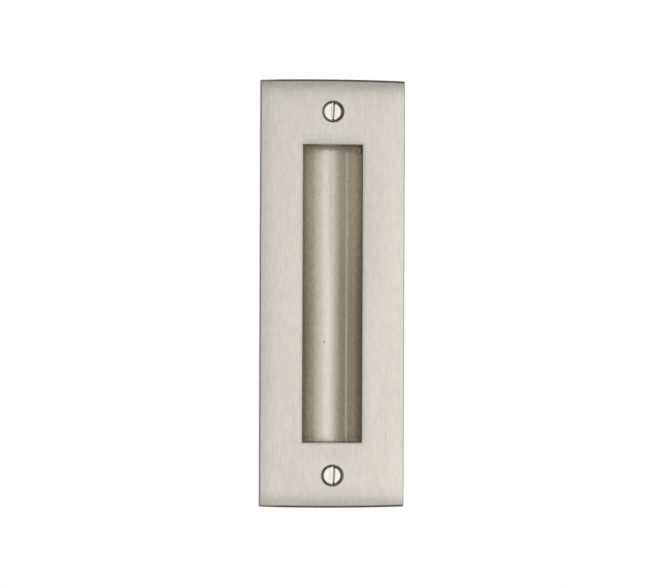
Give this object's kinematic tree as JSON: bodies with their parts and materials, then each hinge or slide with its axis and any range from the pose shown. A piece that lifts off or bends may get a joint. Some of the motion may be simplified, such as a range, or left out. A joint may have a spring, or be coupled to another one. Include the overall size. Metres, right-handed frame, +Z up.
{
  "type": "pocket door flush pull",
  "caption": "Rectangular satin nickel flush pull for a sliding pocket door, with a half-round finger recess and slotted countersunk screws.",
  "frame": {"origin": "middle of the plate's back face, which lies flat on the door", "axes": "+Z up along the plate, +Y into the door, so the face looks along -Y, and +X to the right as seen from the front"},
  "size_m": [0.0516, 0.0192, 0.152],
  "materials": {
    "brushed_plate": "satin nickel plate, brushed lengthwise",
    "brushed_trough": "satin nickel plate, drawn streaks lengthwise",
    "brushed_caps": "satin nickel plate",
    "polished_screws": "bright nickel plate"
  },
  "bodies": {
    "root": {"face_plate": "brushed_plate", "finger_trough": "brushed_trough", "upper_end_cap": "brushed_caps", "lower_end_cap": "brushed_caps", "fixing_screws": "polished_screws"}
  },
  "joints": []
}
